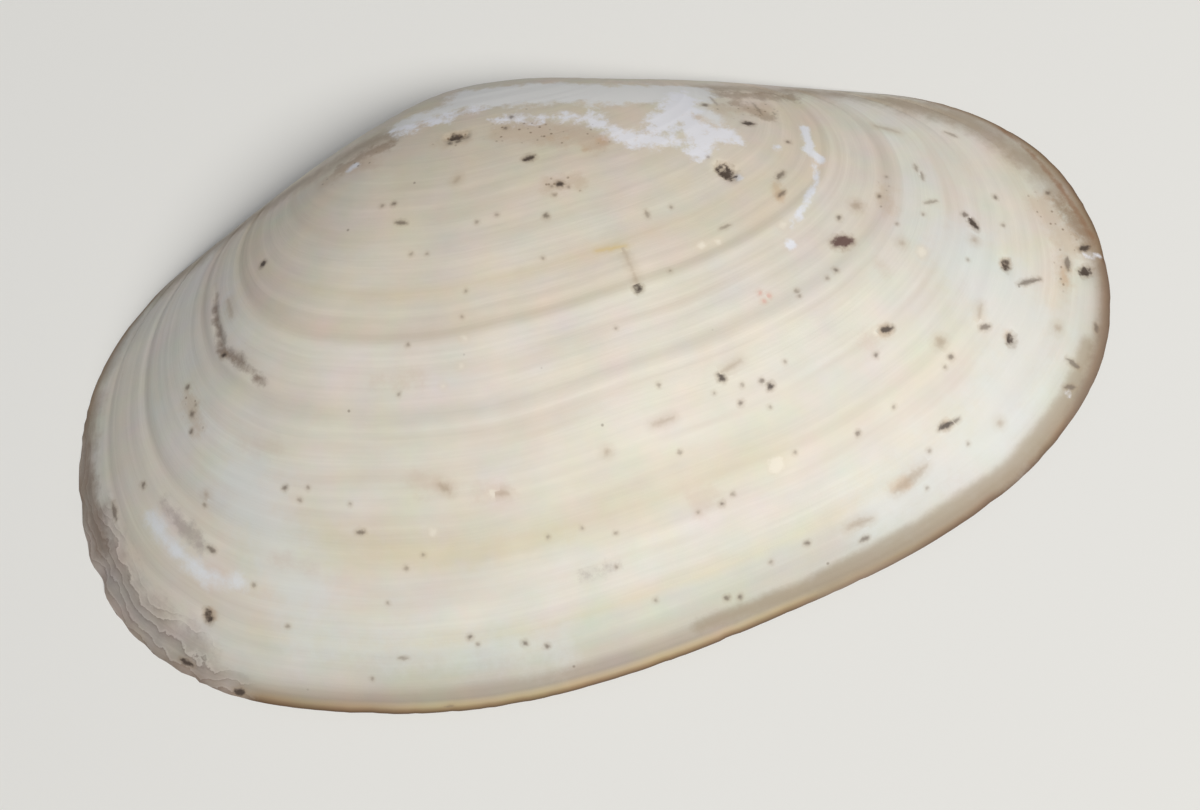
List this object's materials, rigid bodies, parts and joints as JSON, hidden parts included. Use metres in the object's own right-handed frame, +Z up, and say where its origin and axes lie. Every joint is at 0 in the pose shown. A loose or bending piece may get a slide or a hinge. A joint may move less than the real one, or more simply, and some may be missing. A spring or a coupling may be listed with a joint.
{
  "type": "pipi shell",
  "caption": "Single clam valve, oval and domed, with fine concentric growth lines, a low beak near the middle of its top edge, a thin flat rim and a hinge shelf inside.",
  "frame": {"origin": "on the surface that the rim rests on, under the middle of the valve's bounding box", "axes": "+X along the shell towards its longer, rounder front end, +Y towards the beak and hinge, +Z up through the outside of the dome"},
  "size_m": [0.06, 0.0368, 0.0099],
  "materials": {
    "shell": "worn aragonite shell, warm off-white with pale grey and cream growth bands, a grey chalky beak, dark specks and a brown skin left along the lower edge, satin"
  },
  "bodies": {
    "root": {"valve": "shell"}
  },
  "joints": []
}
